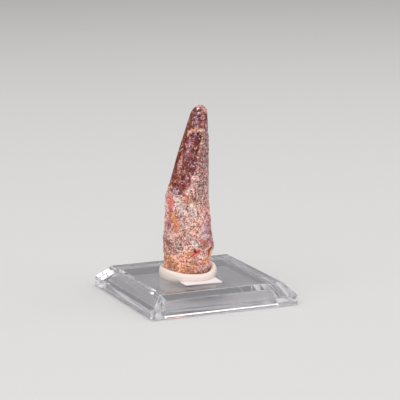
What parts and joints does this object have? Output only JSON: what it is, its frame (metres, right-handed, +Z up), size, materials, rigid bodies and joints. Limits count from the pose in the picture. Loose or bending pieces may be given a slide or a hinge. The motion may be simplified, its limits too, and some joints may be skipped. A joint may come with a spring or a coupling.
{
  "type": "fossil tooth on a display stand",
  "caption": "Upright fossil spinosaur tooth with a sandy crust, set in a collar of white putty on a clear square display stand with bevelled sides and a hollow underside.",
  "frame": {"origin": "centre of the stand's underside, on the surface it stands on", "axes": "+Z up along the tooth; X and Y along the stand's sides; the pictured view looks from between -X and -Y, 24 degrees from -Y"},
  "size_m": [0.05, 0.05, 0.0626],
  "materials": {
    "clear_plastic": "clear polished",
    "white_putty": "matt, smooth",
    "white_pad": "matt",
    "fossil": "enamel with a slight gloss, sandy crust matt"
  },
  "bodies": {
    "root": {"stand": "clear_plastic", "adhesive_pad": "white_pad", "putty": "white_putty", "tooth": "fossil"}
  },
  "joints": []
}
